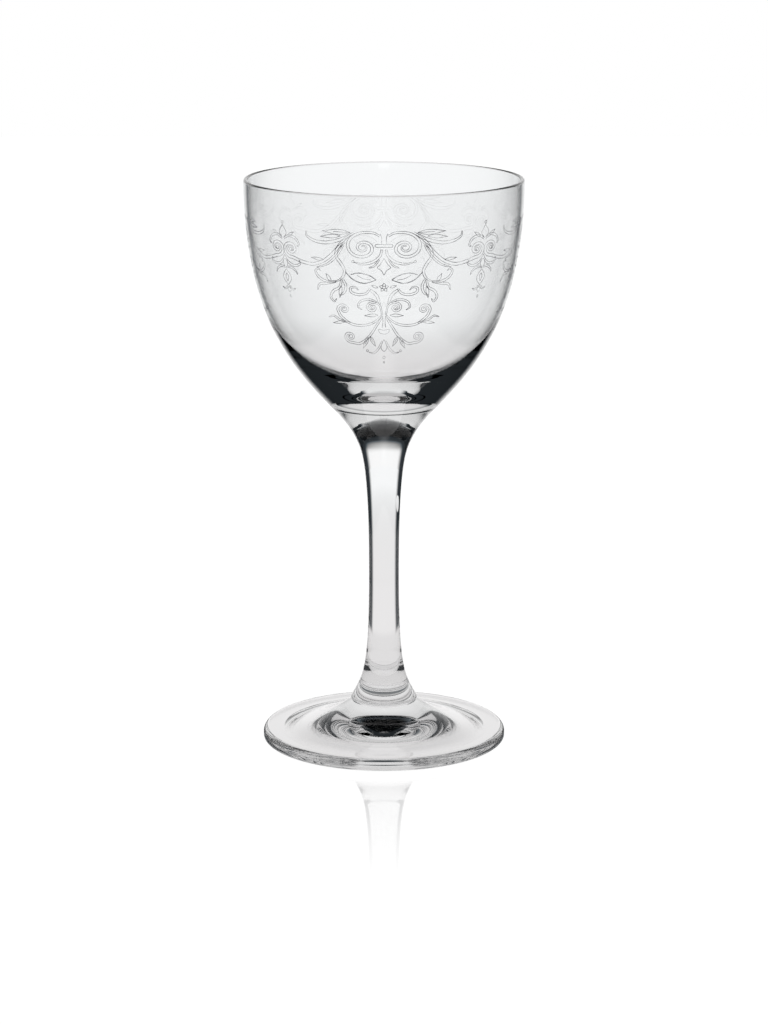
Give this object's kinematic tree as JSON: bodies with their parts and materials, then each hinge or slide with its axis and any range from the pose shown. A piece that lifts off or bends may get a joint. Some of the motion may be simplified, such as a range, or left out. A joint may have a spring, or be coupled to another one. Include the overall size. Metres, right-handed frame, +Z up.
{
  "type": "nick and nora glass",
  "caption": "Stemmed clear cocktail glass with a small tulip bowl, a thin solid stem and a round foot; etched scrollwork round the bowl.",
  "frame": {"origin": "centre of the ring that the foot stands on, on the surface that the glass stands on", "axes": "+Z up along the axis of the bowl, stem and foot; the glass is round, so X and Y are free"},
  "size_m": [0.075, 0.075, 0.155],
  "materials": {
    "bowl_glass": "clear, polished",
    "stem_glass": "clear, polished",
    "foot_glass": "clear, polished"
  },
  "bodies": {
    "root": {"bowl": "bowl_glass", "stem": "stem_glass", "foot": "foot_glass"}
  },
  "joints": []
}
